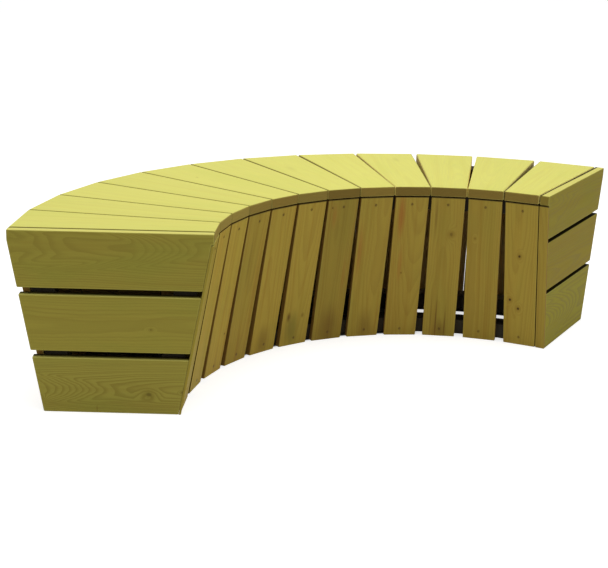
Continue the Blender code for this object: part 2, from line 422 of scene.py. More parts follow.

# %% [markdown]
# ## Four kinds of timber
# All the wood is the same treated softwood, but it has weathered in four ways: the seat in full daylight, the
# slats under it, the boarded ends, and the frame inside, whose colours are darkened as painted shade for the
# inside of the bench. Each kind has its own colours. A depth says how far a colour goes over the one below.

# %% Finishes
# The seat's near-white side colour is painted light, for the sides seen in its wide joints. The frame's dark
# colours are painted shade, for the inside of the bench
FINISHES = {
    "seat": dict(early=colour(216, 212, 110), late=colour(197, 187, 82), streak=colour(206, 194, 92),
                 green=colour(203, 206, 99), ring_depth=0.16, streak_depth=0.25, green_depth=0.30,
                 end_grain=colour(118, 88, 34), end_ring=colour(84, 60, 22), bleached=colour(220, 215, 114),
                 side=colour(252, 230, 134), side_depth=1.0, inside=colour(214, 182, 108)),
    "slat": dict(early=colour(172, 148, 61), late=colour(134, 100, 34), streak=colour(150, 112, 40),
                 green=colour(150, 140, 56), ring_depth=0.22, streak_depth=0.42, green_depth=0.4,
                 end_grain=colour(120, 94, 40), end_ring=colour(90, 66, 26), bleached=colour(210, 200, 106),
                 side=colour(140, 102, 48), side_depth=0.8, inside=colour(222, 182, 110)),
    "end": dict(early=colour(162, 149, 61), late=colour(128, 112, 40), streak=colour(148, 128, 50),
                green=colour(146, 146, 56), ring_depth=0.34, streak_depth=0.35, green_depth=0.4,
                end_grain=colour(140, 122, 52), end_ring=colour(112, 94, 38), bleached=colour(216, 210, 112),
                side=colour(150, 134, 56), side_depth=0.5, inside=colour(200, 176, 104)),
    "frame": dict(early=colour(58, 53, 44), late=colour(42, 38, 30), streak=colour(52, 42, 30),
                  green=colour(54, 56, 42), ring_depth=0.5, streak_depth=0.5, green_depth=0.5,
                  end_grain=colour(54, 46, 34), end_ring=colour(36, 30, 22), bleached=colour(74, 68, 54),
                  side=colour(50, 44, 34), side_depth=0.5, inside=colour(70, 60, 44)),
}


def finish_of(name):
    if name.startswith("seat"):
        return "seat"
    if "end_board" in name or name in ("left_cover_lath", "inner_slat_01"):
        return "end"
    if "slat" in name or name.endswith("lath"):
        return "slat"
    return "frame"


kinds = [finish_of(name) for name in nodes]
print({kind: kinds.count(kind) for kind in FINISHES})

# %% [markdown]
# ## What the eye picks out on single boards
# Most boards are plain, but some carry a mark that one remembers: the knots of the last slat, the red streaks
# of the middle ones, the arched figure of the end boards. They are listed by board, in metres from its middle:
# along the grain, then across it. Figures and knots push the rings; stains and knots add colour.

# %% Knots and arched figures
# Along, across, size
KNOTS = {
    "left_end_board_middle": ((-0.1017, 0.0109, 0.003),),
    "left_end_board_bottom": ((0.18, 0.038, 0.005), (-0.096, 0.02, 0.008), (-0.18, 0.012, 0.0026),
                              (-0.187, 0.055, 0.0026)),
    "inner_slat_12": ((0.0626, 0.0046, 0.005), (-0.1042, 0.003, 0.0052), (-0.0788, 0.0279, 0.005)),
    "inner_slat_11": ((0.1038, 0.0252, 0.003),),
    "inner_slat_10": ((0.112, -0.0156, 0.0066),),
    "inner_slat_07": ((0.2013, 0.0332, 0.0024),),
    "inner_slat_03": ((-0.1105, -0.0315, 0.0026),),
    "inner_slat_09": ((-0.0148, 0.0128, 0.002),),
    "outer_slat_04": ((0.09, 0.02, 0.0042),),
    "outer_slat_09": ((-0.13, -0.024, 0.0046), (0.03, 0.031, 0.003)),
    "seat_board_05": ((0.09, 0.018, 0.0032),),
}
FAINT_KNOTS = ("inner_slat_10", "inner_slat_11", "seat_board_05", "left_end_board_middle",
               "left_end_board_bottom")
# Along and across to the tip, length and width of an arch, and how many rings it gathers. The arches point
# along the grain, or against it where the length is negative
FIGURES = {
    "left_end_board_top": ((-0.205, -0.015, -0.065, 0.028, 7.0), (0.09, -0.014, -0.05, 0.026, 3.0)),
    "left_end_board_bottom": ((-0.005, 0.01, -0.075, 0.026, 9.0),),
    "right_end_board_bottom": ((0.02, -0.005, 0.08, 0.034, 6.0), (0.14, 0, 0.06, 0.034, 4.0)),
    "right_end_board_top": ((0.06, -0.01, 0.06, 0.026, 3.0),),
}
print(sum(map(len, KNOTS.values())), "knots,", sum(map(len, FIGURES.values())), "arched figures")

# %% Stains
RED_STAIN = colour(164, 92, 42)
DARK_STAIN = colour(104, 70, 30)
GREEN_STAIN = colour(112, 108, 46)
# Along, across, length, width, strength, colour
STAINS = {
    "inner_slat_04": ((0.09, 0.012, 0.11, 0.007, 0.3, DARK_STAIN),
                      (0.06, -0.018, 0.12, 0.005, 0.2, GREEN_STAIN)),
    "inner_slat_05": ((-0.185, 0.004, 0.06, 0.03, 0.42, DARK_STAIN),),
    "inner_slat_06": ((-0.128, 0.027, 0.02, 0.008, 0.85, DARK_STAIN),
                      (-0.165, 0.014, 0.06, 0.032, 0.5, GREEN_STAIN),
                      (-0.128, -0.022, 0.01, 0.006, 0.5, DARK_STAIN)),
    "inner_slat_07": ((-0.18, 0, 0.09, 0.034, 0.5, DARK_STAIN),
                      (0.175, 0.024, 0.045, 0.01, 0.32, RED_STAIN),
                      (-0.02, -0.03, 0.07, 0.008, 0.22, RED_STAIN)),
    "inner_slat_08": ((0.055, 0.036, 0.1, 0.011, 0.42, RED_STAIN),
                      (-0.19, -0.004, 0.07, 0.03, 0.38, DARK_STAIN)),
    "inner_slat_09": ((0.165, 0.027, 0.085, 0.014, 0.6, RED_STAIN),
                      (0.01, 0.019, 0.08, 0.009, 0.36, RED_STAIN)),
    "inner_slat_10": ((-0.17, 0.011, 0.12, 0.0036, 0.75, DARK_STAIN),
                      (-0.19, -0.016, 0.08, 0.004, 0.65, DARK_STAIN),
                      (-0.15, 0.026, 0.09, 0.0026, 0.45, DARK_STAIN),
                      (-0.2, 0, 0.04, 0.026, 0.42, DARK_STAIN),
                      (0.17, 0.03, 0.08, 0.005, 0.4, DARK_STAIN)),
    "seat_board_07": ((0.06, 0.02, 0.05, 0.015, 0.1, GREEN_STAIN),),
    "seat_board_09": ((0.15, -0.02, 0.04, 0.012, 0.12, GREEN_STAIN),),
    "left_end_board_bottom": ((-0.02, 0.042, 0.05, 0.0016, 0.4, DARK_STAIN),
                              (0.035, 0.06, 0.003, 0.012, 0.4, DARK_STAIN),
                              (-0.182, 0.012, 0.008, 0.006, 0.35, DARK_STAIN),
                              (-0.187, 0.055, 0.006, 0.006, 0.4, DARK_STAIN)),
}
print(sum(map(len, STAINS.values())), "stains on", len(STAINS), "boards")

# %% [markdown]
# ## Where the screws go
# Slats are held at head and foot, by one screw each inside the arc and by two outside, where they are wide.
# Nobody drives a screw quite on the line, so each place strays a little. The places come before the wood, for
# damp wood stains dark round steel.

# %% Places for the screws
SCREW_HEIGHTS = (0.420, 0.025)
OUTER_SCREW_OFFSET = 0.045
SCREW_JITTER = 0.0025
# Two foot screws that stand clearly off the line, by slat and end
SCREW_ASTRAY = {("inner_slat_08", 1): -0.0045, ("inner_slat_05", 1): -0.004}


def screw_places(name):
    """Where screws go in a slat, along and across its own space."""
    if "slat" not in name:
        return ()
    inner = name.startswith("inner")
    chance = Random(int(name[-2:]) + (0 if inner else BOARD_COUNT))
    space = timber_matrix(name)
    places = []
    for end, height in enumerate(SCREW_HEIGHTS):
        for offset in (0,) if inner else (-OUTER_SCREW_OFFSET, OUTER_SCREW_OFFSET):
            along = (height - space.translation.z) / space.col[0].z
            along += chance.uniform(-SCREW_JITTER, SCREW_JITTER)
            astray = SCREW_ASTRAY.get((name, end), chance.uniform(-SCREW_JITTER, SCREW_JITTER))
            places.append((along, offset + astray))
    return tuple(places)


print("screws in the middle inner slat", *map(Vector, screw_places("inner_slat_06")))

# %% [markdown]
# ## Wood, from the log outwards
# The growth rings are cones round a pith that lies some way below the board. Distance from the pith, divided
# by the ring spacing, gives one ring after another. A knot pushes the rings aside, and where the saw cut the
# log at a slant they gather in nested arches, pointing along the board or back. All of it is worked out in the
# timber's own space, so it goes through the solid and meets at every edge.

# %% Where a point lies on its board
def place_on_board(tree, matrix):
    """Where a point lies and which way its surface faces, both as the board sees it and upright."""
    where = add_node(tree, "ShaderNodeTexCoord").outputs["Object"]
    normal = add_node(tree, "ShaderNodeNewGeometry").outputs["True Normal"]
    turn = matrix.to_euler()
    space = in_axes(tree, where, turn, matrix.translation)
    facing = in_axes(tree, normal, turn)
    along, _, depth = parts_of(tree, space)
    _, facing_across, facing_out = parts_of(tree, facing)
    endwise, sideways, outwards = parts_of(tree, vector_math(tree, "ABSOLUTE", facing))
    return dict(space=space, along=along, depth=depth, height=parts_of(tree, where)["Z"],
                facing_across=facing_across, facing_in=math(tree, "MULTIPLY", facing_out, -1),
                facing_up=parts_of(tree, normal)["Z"],
                endwise=endwise, sideways=sideways, outwards=outwards)


def from_mark(tree, space, along, across, length, width):
    """Steps over the face from a mark, as long and as wide as the mark itself."""
    away = vector_math(tree, "SUBTRACT", space, (along, across, 0))
    return vector_math(tree, "MULTIPLY", away, (1 / length, 1 / width, 0))


def face_distance(tree, *mark):
    """Distance over the face from a mark, where 1 is its edge."""
    return vector_math(tree, "LENGTH", from_mark(tree, *mark))


print("marks: from_mark, face_distance")

# %% Growth rings
DRIFT_GRAIN, DRIFT_DETAIL = (3.2, 8.0, 8.0), 2.5
GREY = (0.5, 0.5, 0.5)
UNEVEN_YEARS, UNEVEN_SCALE = 0.9, 0.8
KNOT_PUSH = 2.6
KNOT_REACH = (6, 3.2)
ARCH_RISE = (-2.6, 0.4)
ARCH_FADE = (-14, -6)
# Parts of a year: the wood darkens towards autumn and stops at winter
AUTUMN = (0.30, 0.90)
WINTER = (0.92, 1.0)


def sway(tree, space, look):
    """A board's space, drifting a little as a trunk does that didn't grow straight."""
    drift = own_noise(tree, space, DRIFT_GRAIN, look["seed"], DRIFT_DETAIL)
    centred = vector_math(tree, "SUBTRACT", drift.outputs["Color"], GREY)
    moved = vector_math(tree, "MULTIPLY", centred, (0, look["wander"], look["wander"]))
    return vector_math(tree, "ADD", space, moved)


def years_from_pith(tree, swayed, look):
    """How many rings lie between the pith and a point. Good years made wide ones."""
    in_log = in_axes(tree, swayed, (0, look["pith_lean"], look["pith_turn"]),
                     (0, look["pith_across"], -look["pith_depth"]))
    across_log = vector_math(tree, "MULTIPLY", in_log, (0, 1, 1))
    years = math(tree, "DIVIDE", vector_math(tree, "LENGTH", across_log), look["ring"])
    uneven = add_node(tree, "ShaderNodeTexNoise", noise_dimensions="1D")
    uneven.inputs["Scale"].default_value = UNEVEN_SCALE
    tree.links.new(math(tree, "ADD", years, look["seed"]), uneven.inputs["W"])
    return math(tree, "MULTIPLY_ADD", uneven.outputs["Fac"], UNEVEN_YEARS, years)


def arched_figure(tree, swayed, along, across, length, width, heap):
    """Extra rings gathered in nested arches. They end at a tip and fade out behind it."""
    ahead, aside, _ = parts_of(tree, from_mark(tree, swayed, along, across, length, width))
    behind_tip = math(tree, "MULTIPLY_ADD", aside, aside, ahead)
    arches = smooth_step(tree, behind_tip, *ARCH_RISE, heap, 0.0)
    return math(tree, "MULTIPLY", arches, smooth_step(tree, ahead, *ARCH_FADE))


def ring_pattern(tree, space, look):
    """Growth rings as 0 for pale early wood to 1 for the dark late line of each year."""
    swayed = sway(tree, space, look)
    years = years_from_pith(tree, swayed, look)
    for along, across, size in look["knots"]:
        distance = face_distance(tree, space, along, across, size * KNOT_REACH[0], size * KNOT_REACH[1])
        years = math(tree, "ADD", years, smooth_step(tree, distance, 0, 1, KNOT_PUSH, 0.0))
    for figure in look["figures"]:
        years = math(tree, "ADD", years, arched_figure(tree, swayed, *figure))
    season = math(tree, "FRACT", years)
    return product(tree, smooth_step(tree, season, *AUTUMN), smooth_step(tree, season, *WINTER, 1.0, 0.0))


print("dark late wood from", AUTUMN[0], "to", WINTER[0], "of each year")

# %% [markdown]
# ## Colour over the rings
# Over the rings come fine fibres, soft wide streaks and the uneven green of the treatment. They are three
# noises stretched along the grain. Stains, knots and the dark ring round each screw are laid over them, each
# with a soft edge.

# %% Fibres, streaks and patches
# Grains per metre along, across and through the board, detail, and a step from the board's own seed
FIGURE_NOISES = {
    "fibre": ((14, 420, 420), 3, 3),
    "streaks": ((1.6, 62, 62), 3, 5),
    "patches": ((3.5, 11, 11), 2.5, 9),
}
STREAK_EDGES = (0.46, 0.72)
GREEN_EDGES = (0.45, 0.75)
FIBRE_CONTRAST, FIBRE_LOW = 0.14, 0.93


def board_figure(tree, space, look):
    """All the patterns of one board, by name, as sockets from 0 to 1."""
    figure = dict(rings=ring_pattern(tree, space, look))
    for name, (grain, detail, step) in FIGURE_NOISES.items():
        figure[name] = own_noise(tree, space, grain, look["seed"] + step, detail).outputs["Fac"]
    return figure


def planed_shade(tree, figure, finish, look):
    """The colour of a planed face, before its marks."""
    ring_amount = math(tree, "MULTIPLY", figure["rings"], finish["ring_depth"] * look["ring_gain"])
    shade = mix_colour(tree, ring_amount, finish["early"], finish["late"])
    for tint, pattern, edges in (("streak", "streaks", STREAK_EDGES), ("green", "patches", GREEN_EDGES)):
        shade = cover(tree, shade, finish[tint], figure[pattern], edges, 0.0, finish[tint + "_depth"])
    tone = add_node(tree, "ShaderNodeCombineColor")
    for socket, share in zip(tone.inputs, look["tint"]):
        level = look["level"] * share
        fibred = math(tree, "MULTIPLY_ADD", figure["fibre"], level * FIBRE_CONTRAST, level * FIBRE_LOW)
        tree.links.new(fibred, socket)
    return mix_colour(tree, 1.0, shade, tone.outputs[0], "MULTIPLY")


print("noises:", ", ".join(FIGURE_NOISES))

# %% Stains, knots and screw rings
KNOT_BROWN = colour(58, 34, 14)
SCREW_STAIN = colour(84, 62, 28)
HEAD_RADIUS = 0.0028
STAIN_RAGGEDNESS, STAIN_EDGE = 0.9, (0.5, 1.6)
KNOT_LENGTH = 1.2
KNOT_HALO, KNOT_HALO_DEPTH = (0.5, 2.6), 0.4
KNOT_CORE = (0.35, 0.95)
SCREW_STRETCH, SCREW_EDGE, SCREW_DEPTH = 1.3, (0.9, 2.0), 0.35


def marked_shade(tree, at, figure, shade, finish, look):
    """Adds a board's stains and knots, and the dark ring that each screw leaves."""
    for along, across, length, width, strength, stain in look["stains"]:
        distance = face_distance(tree, at["space"], along, across, length, width)
        ragged = math(tree, "MULTIPLY_ADD", figure["streaks"], STAIN_RAGGEDNESS, distance)
        shade = cover(tree, shade, stain, ragged, STAIN_EDGE, strength, 0.0)
    for along, across, size in look["knots"]:
        distance = face_distance(tree, at["space"], along, across, size * KNOT_LENGTH, size)
        shade = cover(tree, shade, finish["late"], distance, KNOT_HALO, KNOT_HALO_DEPTH, 0.0)
        shade = cover(tree, shade, KNOT_BROWN, distance, KNOT_CORE, look["knot_depth"], 0.0)
    for along, across in look["screws"]:
        distance = face_distance(tree, at["space"], along, across, HEAD_RADIUS * SCREW_STRETCH, HEAD_RADIUS)
        shade = cover(tree, shade, SCREW_STAIN, distance, SCREW_EDGE, SCREW_DEPTH, 0.0)
    return shade


print("screw stains reach", round(HEAD_RADIUS * SCREW_EDGE[1] * 1000, 1), "mm out")

# %% [markdown]
# ## Other faces than the planed one
# A board's ends show brown end grain, its sawn sides take the treatment in another way, and the inner face of
# a wall keeps a warmer brown. On the seat the pale sides are painted light for the wide joints, and on some
# outer slats the inner face is lightened or darkened as painted light and shade. Sun bleaches the tops, and
# wear bleaches the arrises, the thin edges between two faces. The way a surface faces tells which of them it
# is, so one material serves the whole solid.

# %% Ends, sides and the inner face
END_FACING, END_DEPTH, END_RING_DEPTH = (0.75, 0.95), 0.9, 0.4
SIDE_FACING = (0.60, 0.95)
IN_FACING, INSIDE_DEPTH = (0.80, 0.98), 0.85


def nose_colour(brown, nose):
    """End grain of one board, at its own level. Green and blue grow faster where the grain is yellower."""
    level, yellowness = nose
    red, green, blue, alpha = brown
    return (red * level, green * level * yellowness, blue * level * yellowness ** 2, alpha)


def sawn_shade(tree, at, figure, shade, finish, look):
    """Adds the end grain, the narrow sides, pale on the seat as painted light, and the sheltered inner face,
    lightened or darkened on some outer slats as painted light and shade.
    """
    browns = [nose_colour(finish[part], look["nose"]) for part in ("end_grain", "end_ring")]
    end_shade = mix_colour(tree, math(tree, "MULTIPLY", figure["rings"], END_RING_DEPTH), *browns)
    end_face = smooth_step(tree, at["endwise"], *END_FACING)
    shade = mix_colour(tree, math(tree, "MULTIPLY", end_face, END_DEPTH), shade, end_shade)
    shade = cover(tree, shade, finish["side"], at["sideways"], SIDE_FACING, 0.0, finish["side_depth"])
    # look's inside factor lightens or darkens the inner face of some outer slats, as painted light or shade
    inside = tuple(part * look["inside"] for part in finish["inside"])
    return cover(tree, shade, inside, at["facing_in"], IN_FACING, 0.0, INSIDE_DEPTH)


print("end grain shows from a facing of", END_FACING[0])

# %% Bleached tops and worn arrises
UP_FACING, BLEACH_DEPTH = (0.35, 0.9), 0.85
ARRIS_FLATNESS = (0.90, 0.985)
WORN_PATCHES = (0.35, 0.6)


def weathered_shade(tree, at, figure, shade, finish, look):
    """Adds the pale top of an end board, and the wear of every arris, stronger in patches."""
    if look["kind"] == "end":
        shade = cover(tree, shade, finish["bleached"], at["facing_up"], UP_FACING, 0.0, BLEACH_DEPTH)
    flattest = math(tree, "MAXIMUM", math(tree, "MAXIMUM", at["endwise"], at["sideways"]), at["outwards"])
    arris = smooth_step(tree, flattest, *ARRIS_FLATNESS, 1.0, 0.0)
    wear = product(tree, arris, smooth_step(tree, figure["patches"], *WORN_PATCHES, *look["wear"]))
    return mix_colour(tree, wear, shade, finish["bleached"])


print("tops bleached by", BLEACH_DEPTH)

# %% [markdown]
# ## Painted shade in the joints
# Where two boards almost touch, no light gets in, so the fine dark lines between them are painted shade. The
# narrow sides are darkened board by board, for a joint that opens shows clean wood. The painted shade is matt,
# so it takes the sheen with it. A painted shadow darkens the slats under the seat's nose too, and painted shade
# the upper end boards beside the seat.

# %% Narrow sides
# Colours of the painted shade in the joints: dark where they are tight, olive on the seat
SHUT_JOINT = colour(34, 24, 9)
SEAT_JOINT = colour(84, 68, 16)
CORNER_FACING = (0.1, 0.7)


def joint_shade(tree, at, shade, look):
    """Paints shade on a board's sides towards tight joints. Also gives the gloss that it leaves, a plain number
    if the board has none.
    """
    gloss = look["gloss"]
    for side, shut in zip((-1, 1), look["shut"]):
        if not shut:
            continue
        towards = math(tree, "MULTIPLY", at["facing_across"], side)
        painted_shade = smooth_step(tree, towards, *look["shut_range"], 0.0, shut)
        if look["kind"] == "seat":
            painted_shade = product(tree, painted_shade, smooth_step(tree, at["endwise"], *CORNER_FACING, 1.0, look["corner"]))
        if look["kind"] == "end":
            painted_shade = product(tree, painted_shade, smooth_step(tree, at["depth"], *look["lip"], 1.0, 0.0))
        shade = mix_colour(tree, painted_shade, shade, look["joint"])
        gloss = product(tree, gloss, rest_of(tree, painted_shade))
    return shade, gloss


print("dirt in tight joints", Vector(SHUT_JOINT))

# %% Under the nose and beside the seat
# Heights over which a painted shadow darkens the slats under the seat's nose
PAINTED_NOSE_SHADOW_HEIGHTS = (0.4370, 0.4394)
SEAM_DEPTHS = (-0.0092, -0.0066)
SEAM_OPENING_PLACES = (-0.15, 0.15)
SEAM_UP_FACING = (0.2, 0.5)
SEAM_IN_FACING = (0.55, 0.95)


def seam_shade(tree, at, shade, gloss, look):
    """Paints shade on an upper end board along the seat, on its arris and behind on its inner face."""
    opening = smooth_step(tree, at["along"], *SEAM_OPENING_PLACES, 0.0, look["seam_opening"])
    joint_depth = math(tree, "SUBTRACT", at["depth"], opening)
    at_joint = smooth_step(tree, joint_depth, *SEAM_DEPTHS, look["seam"], 0.0)
    painted_shade = product(tree, at_joint, smooth_step(tree, at["facing_up"], *SEAM_UP_FACING))
    shade = mix_colour(tree, painted_shade, shade, SHUT_JOINT)
    beside_seat = smooth_step(tree, at["height"], UNDERSIDE - SEAT_THICKNESS, UNDERSIDE)
    behind = product(tree, beside_seat, smooth_step(tree, at["facing_in"], *SEAM_IN_FACING), look["seam"])
    return mix_colour(tree, behind, shade, SHUT_JOINT), product(tree, gloss, rest_of(tree, painted_shade))


# The dark band under the nose is a painted shadow
print("grime under the nose starts at", PAINTED_NOSE_SHADOW_HEIGHTS[0], "m")

# %% [markdown]
# ## One material for each timber
# Colour is laid from the face outwards, then come sheen and relief. Sawn ends are rougher than planed faces,
# and the hard late wood stands a little proud and shines a little more, as soft early wood wears away first.

# %% The whole material
ROUGHNESS = 0.58
# What the fibre, an end face and the late wood add to it
ROUGHNESS_CHANGES = (0.22, 0.10, -0.08)
RING_HEIGHT = 0.5
RELIEF_STRENGTH, RELIEF_DEPTH = 0.35, 0.0006


def wood_material(name, look):
    """One timber's material. look holds what differs from board to board."""
    finish = FINISHES[look["kind"]]
    material, tree, shader = new_material(name)
    at = place_on_board(tree, look["matrix"])
    figure = board_figure(tree, at["space"], look)
    shade = planed_shade(tree, figure, finish, look)
    for layer in (marked_shade, sawn_shade, weathered_shade):
        shade = layer(tree, at, figure, shade, finish, look)
    shade, gloss = joint_shade(tree, at, shade, look)
    # Painted shadow under the seat's nose
    if look["under_nose"]:
        shade = cover(tree, shade, SHUT_JOINT, at["height"], PAINTED_NOSE_SHADOW_HEIGHTS, 0.0, look["under_nose"])
    # Painted shade where an upper end board closes on the seat
    if look["seam"]:
        shade, gloss = seam_shade(tree, at, shade, gloss, look)
    rough = ROUGHNESS
    end_face = smooth_step(tree, at["endwise"], *END_FACING)
    for share, change in zip((figure["fibre"], end_face, figure["rings"]), ROUGHNESS_CHANGES):
        rough = math(tree, "MULTIPLY_ADD", share, change, rough)
    for socket, source in (("Base Color", shade), ("Roughness", rough), ("Specular IOR Level", gloss)):
        link_value(tree, source, shader.inputs[socket])
    relief = math(tree, "MULTIPLY_ADD", figure["rings"], RING_HEIGHT, figure["fibre"])
    add_relief(tree, shader, relief, RELIEF_STRENGTH, RELIEF_DEPTH)
    return material


print("planed wood has roughness", ROUGHNESS, "and up")

# %% [markdown]
# ## Board by board
# No two boards come from the same place in a log. Chance picks where each one's pith lay, how it leant and how
# fast the tree grew, from a fixed number, so that the bench always comes out the same. Over that goes what the
# photograph shows of single boards.

# %% Tones and joints of the arc
# How light each board is, on its face and on the end grain of its nose
INNER_TONES = (1.08, 1.30, 1.29, 1.06, 1.17, 1.15, 0.90, 1.04, 1.03, 1.02, 1.00, 1.07)
SEAT_TONES = (0.95, 0.94, 0.95, 0.94, 0.96, 0.96, 0.98, 1.00, 0.99, 0.98, 0.98, 0.99)
NOSE_TONES = (1.90, 1.90, 2.00, 1.55, 1.45, 1.40, 0.94, 1.36, 0.94, 0.94, 1.20, 1.22)
NOSE_YELLOWNESS = (1.28, 1.28, 1.28, 1.18, 1.12, 1.22, 1.00, 1.10, 1.00, 1.02, 1.08, 1.12)
# How dark the painted shadow under the seat's nose is on each slat
PAINTED_NOSE_SHADOW = (0, 0, 0.4, 0.6, 0.7, 0.75, 0.75, 0.75, 0.8, 0.8, 0.8, 0.8)
# How dark the painted shade on the seat boards' sawn sides is at each joint, from the left end. Tight joints
# see no light; where a joint opens wide the pale side colour shows, as painted light
JOINT_SHADES = (0.95, 0.95, 0.95, 0.95, 0.95, 0.95, 0.9, 0.85, 0.7, 0.1, 0.3, 0.0, 0.95)
# Painted light and shade on the inner faces of some outer slats, seen through the inner gaps: how light they
# are
INSIDE_PAINTED_LIGHT_AND_SHADE = {2: 0.4, 3: 0.4, 4: 0.4, 10: 1.35, 11: 1.35}
print("darkest inner slat is number", INNER_TONES.index(min(INNER_TONES)) + 1)

# %% What single boards have of their own
# How far a surface has to turn towards its neighbour before it is painted dark
SHUT_RANGE, SEAT_SHUT_RANGE, ROUND_SHUT_RANGE = (0.75, 0.97), (0.12, 0.62), (0.45, 0.72)
# How deep the daylight reaches over the upper edges of the end boards; deeper in the slots, shade is painted
LEFT_LIP, RIGHT_LIP = (-0.006, 0.010), (0.0122, 0.0135)
# How dark the painted shade is where an end board closes on the seat
SEAM_PAINTED_SHADE = 0.95
PLAIN_LOOK = dict(ring_gain=1, tint=(1, 1, 1), nose=(1, 1), gloss=0.12, wear=(0.08, 0.3), inside=1,
                  joint=SHUT_JOINT, corner=0.35, shut=(0, 0), shut_range=SHUT_RANGE, under_nose=0, seam=0,
                  seam_opening=0)
OWN_LOOKS = {
    "left_end_board_top": dict(shut=(0, 0.92), ring_gain=1.1, pith_across=-0.015, pith_turn=0,
                               seam=SEAM_PAINTED_SHADE),
    "left_end_board_middle": dict(shut=(0.92, 0.92), ring_gain=0.8, pith_across=0, pith_turn=0),
    "left_end_board_bottom": dict(shut=(0.92, 0.92), ring_gain=1.6, level=1.03, tint=(1, 1.02, 1.12),
                                  pith_across=0.010, pith_turn=0),
    "right_end_board_top": dict(shut=(0.97, 0), level=0.87, tint=(1, 0.955, 0.48), seam=SEAM_PAINTED_SHADE,
                                seam_opening=0.0026),
    "right_end_board_middle": dict(shut=(0.97, 0.97), level=0.88, tint=(1, 0.91, 0.44)),
    "right_end_board_bottom": dict(shut=(0.97, 0.97), ring_gain=1.6, level=0.91, tint=(1, 1.02, 0.48),
                                   pith_across=0, pith_turn=0, ring=0.010),
    "left_cover_lath": dict(level=1.25, tint=(1, 0.90, 0.95), gloss=0.0, wear=(0.1, 0.2), shut=(0.9, 0),
                            shut_range=ROUND_SHUT_RANGE),
    "right_cover_lath": dict(shut=(0, 0.9), under_nose=0.8),
    "inner_slat_01": dict(level=1.24, tint=(1, 0.88, 0.85), shut=(0.9, 0.9), shut_range=ROUND_SHUT_RANGE),
    "inner_slat_02": dict(shut=(0, 0.85), shut_range=(0.5, 0.85)),
    "inner_slat_12": dict(shut=(0.9, 0)),
    "seat_board_12": dict(joint=SHUT_JOINT, corner=1.0),
    # Painted light on the rail that daylight reaches behind the gaps
    "outer_bottom_rail": dict(level=5.0),
}
print(len(OWN_LOOKS), "timbers with a look of their own")

# %% Every timber gets its wood
RING_WIDTHS = (0.0030, 0.0048)
PITH_ACROSS = 0.035
PITH_DEPTHS = (0.045, 0.095)
PITH_LEAN = 0.03
WANDER, WANDER_SPREAD = 0.014, (0.6, 1.3)
LEVEL_SPREAD = (0.97, 1.03)
SEED_RANGE = (0, 90)
KNOT_DEPTH, FAINT_KNOT_DEPTH = 0.85, 0.35


def log_of(chance):
    """Where in a log a board lay: seed of its noises, rings, pith and tone, drawn in this order."""
    return dict(
        seed=chance.uniform(*SEED_RANGE),
        ring=chance.uniform(*RING_WIDTHS),
        pith_across=chance.uniform(-PITH_ACROSS, PITH_ACROSS),
        pith_depth=chance.uniform(*PITH_DEPTHS),
        pith_lean=chance.uniform(-PITH_LEAN, PITH_LEAN),
        pith_turn=chance.uniform(-PITH_LEAN, PITH_LEAN) / 2,
        wander=WANDER * chance.uniform(*WANDER_SPREAD),
        level=chance.uniform(*LEVEL_SPREAD),
    )


def board_look(name, index):
    """Everything that a timber's material needs to know about it."""
    look = dict(PLAIN_LOOK, **log_of(Random(index)))
    look.update(kind=finish_of(name), matrix=timber_matrix(name), screws=screw_places(name),
                lip=LEFT_LIP if name.startswith("left") else RIGHT_LIP, knots=KNOTS.get(name, ()),
                knot_depth=FAINT_KNOT_DEPTH if name in FAINT_KNOTS else KNOT_DEPTH,
                figures=FIGURES.get(name, ()), stains=STAINS.get(name, ()))
    if name[-2:].isdigit():
        number = int(name[-2:])
        left = number - 1
        if name.startswith("seat"):
            look.update(level=SEAT_TONES[left], nose=(NOSE_TONES[left], NOSE_YELLOWNESS[left]),
                        shut=JOINT_SHADES[left:number + 1], shut_range=SEAT_SHUT_RANGE, joint=SEAT_JOINT,
                        wear=(0.0, 0.1))
        elif name.startswith("inner"):
            look.update(level=INNER_TONES[left], under_nose=PAINTED_NOSE_SHADOW[left])
        else:
            look.update(inside=INSIDE_PAINTED_LIGHT_AND_SHADE.get(number, 1))
    look.update(OWN_LOOKS.get(name, {}))
    return look


for index, name in enumerate(sorted(nodes)):
    nodes[name].material_slots[0].material = wood_material(name + "_wood", board_look(name, index))
print(len(nodes), "timbers given wood")

# %% [markdown]
# ## The screws
# Each slat is held by countersunk screws with a six-lobed recess. One is modelled from a disc: its back drawn
# down into a cone and a stub of shank that sit in the wood, its face inset, the corners between the lobes
# pulled in, and the recess pushed down. Its copies follow the table of places, so that each screw sits in the
# middle of its own damp stain.

# %% Tools for one screw
HEAD_CORNERS = 24
CORNERS_PER_LOBE = 4
RECESS_INSET = 0.0011
FACES_UP = 0.9


def pick(kind, keep):
    """In edit mode, selects the vertices, edges or faces that pass a test, and nothing else."""
    bpy.ops.mesh.select_mode(type={"verts": "VERT", "edges": "EDGE", "faces": "FACE"}[kind])
    bpy.ops.mesh.select_all(action="DESELECT")
    mesh = bpy.context.object.data
    shape = bmesh.from_edit_mesh(mesh)
    for element in getattr(shape, kind):
        if keep(element):
            element.select_set(True)
    shape.select_flush_mode()
    bmesh.update_edit_mesh(mesh)


def scaled_about_axis(scale):
    bpy.ops.transform.resize(value=(scale, scale, 1), center_override=(0, 0, 0))


def drawn_out(rise, scale):
    """Extrudes what is selected along the screw's axis and scales the new end about that axis."""
    bpy.ops.mesh.extrude_region_move(TRANSFORM_OT_translate={"value": (0, 0, rise)})
    scaled_about_axis(scale)


def on_recess(vertex, corner):
    """True for the recess's corners of one number, counted round each lobe from its tip."""
    number = round(atan2(vertex.co.y, vertex.co.x) / (2 * pi) * HEAD_CORNERS) % CORNERS_PER_LOBE
    return vertex.co.z > 0 and vertex.co.xy.length < HEAD_RADIUS - RECESS_INSET / 2 and number == corner


